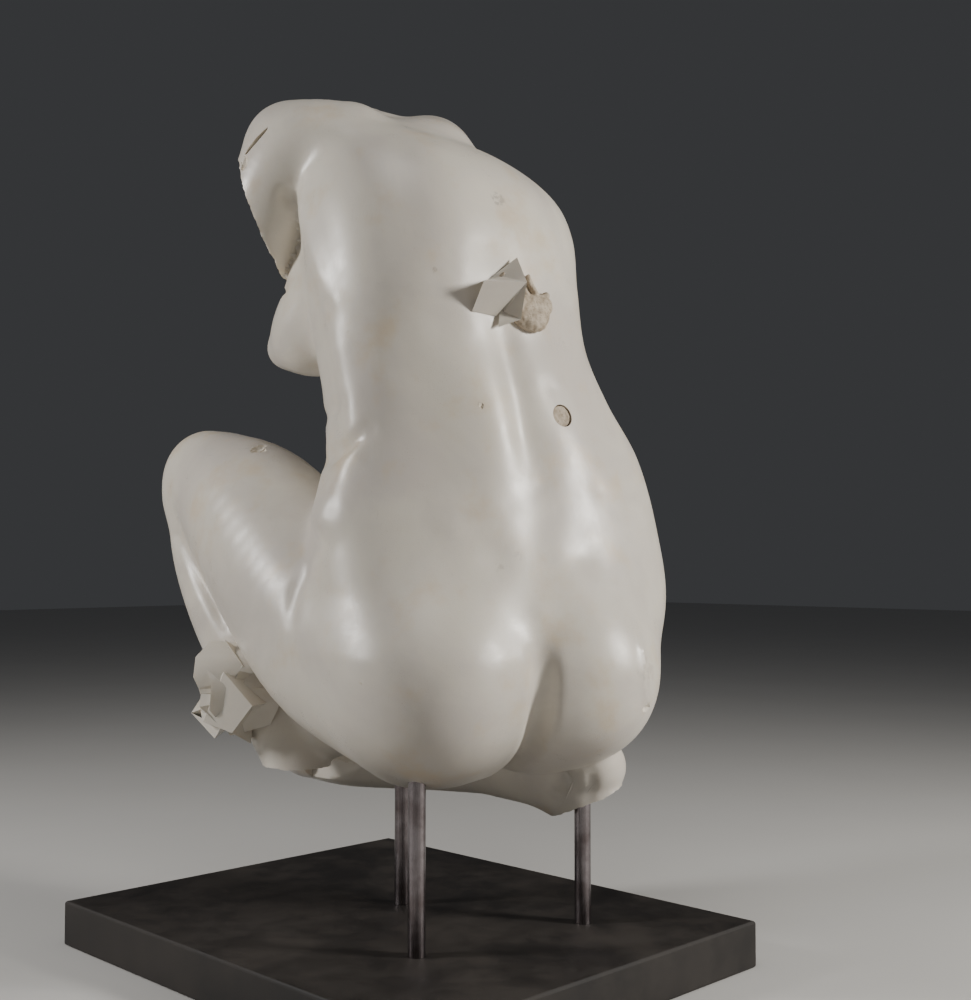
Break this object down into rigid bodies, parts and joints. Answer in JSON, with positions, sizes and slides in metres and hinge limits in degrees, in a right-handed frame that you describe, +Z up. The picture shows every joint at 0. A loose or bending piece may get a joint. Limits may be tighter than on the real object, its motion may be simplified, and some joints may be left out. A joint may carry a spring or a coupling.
{
  "type": "marble torso sculpture",
  "caption": "Headless, armless crouching nude in polished marble, seated over its right heel, held up by steel rods in a low dark plinth",
  "frame": {"origin": "centre of the plinth's underside", "axes": "+Z up, +X towards the figure's left, -Y the way the figure faces"},
  "size_m": [0.58, 0.7517, 1.1617],
  "materials": {
    "marble": "polished",
    "plug_stone": "matt",
    "rod_steel": "polished, dark",
    "plinth_wood": "matt black paint"
  },
  "bodies": {
    "root": {"torso": "marble", "back_plug": "plug_stone", "rod_near": "rod_steel", "rod_right": "rod_steel", "rod_far": "rod_steel", "plinth": "plinth_wood"}
  },
  "joints": []
}
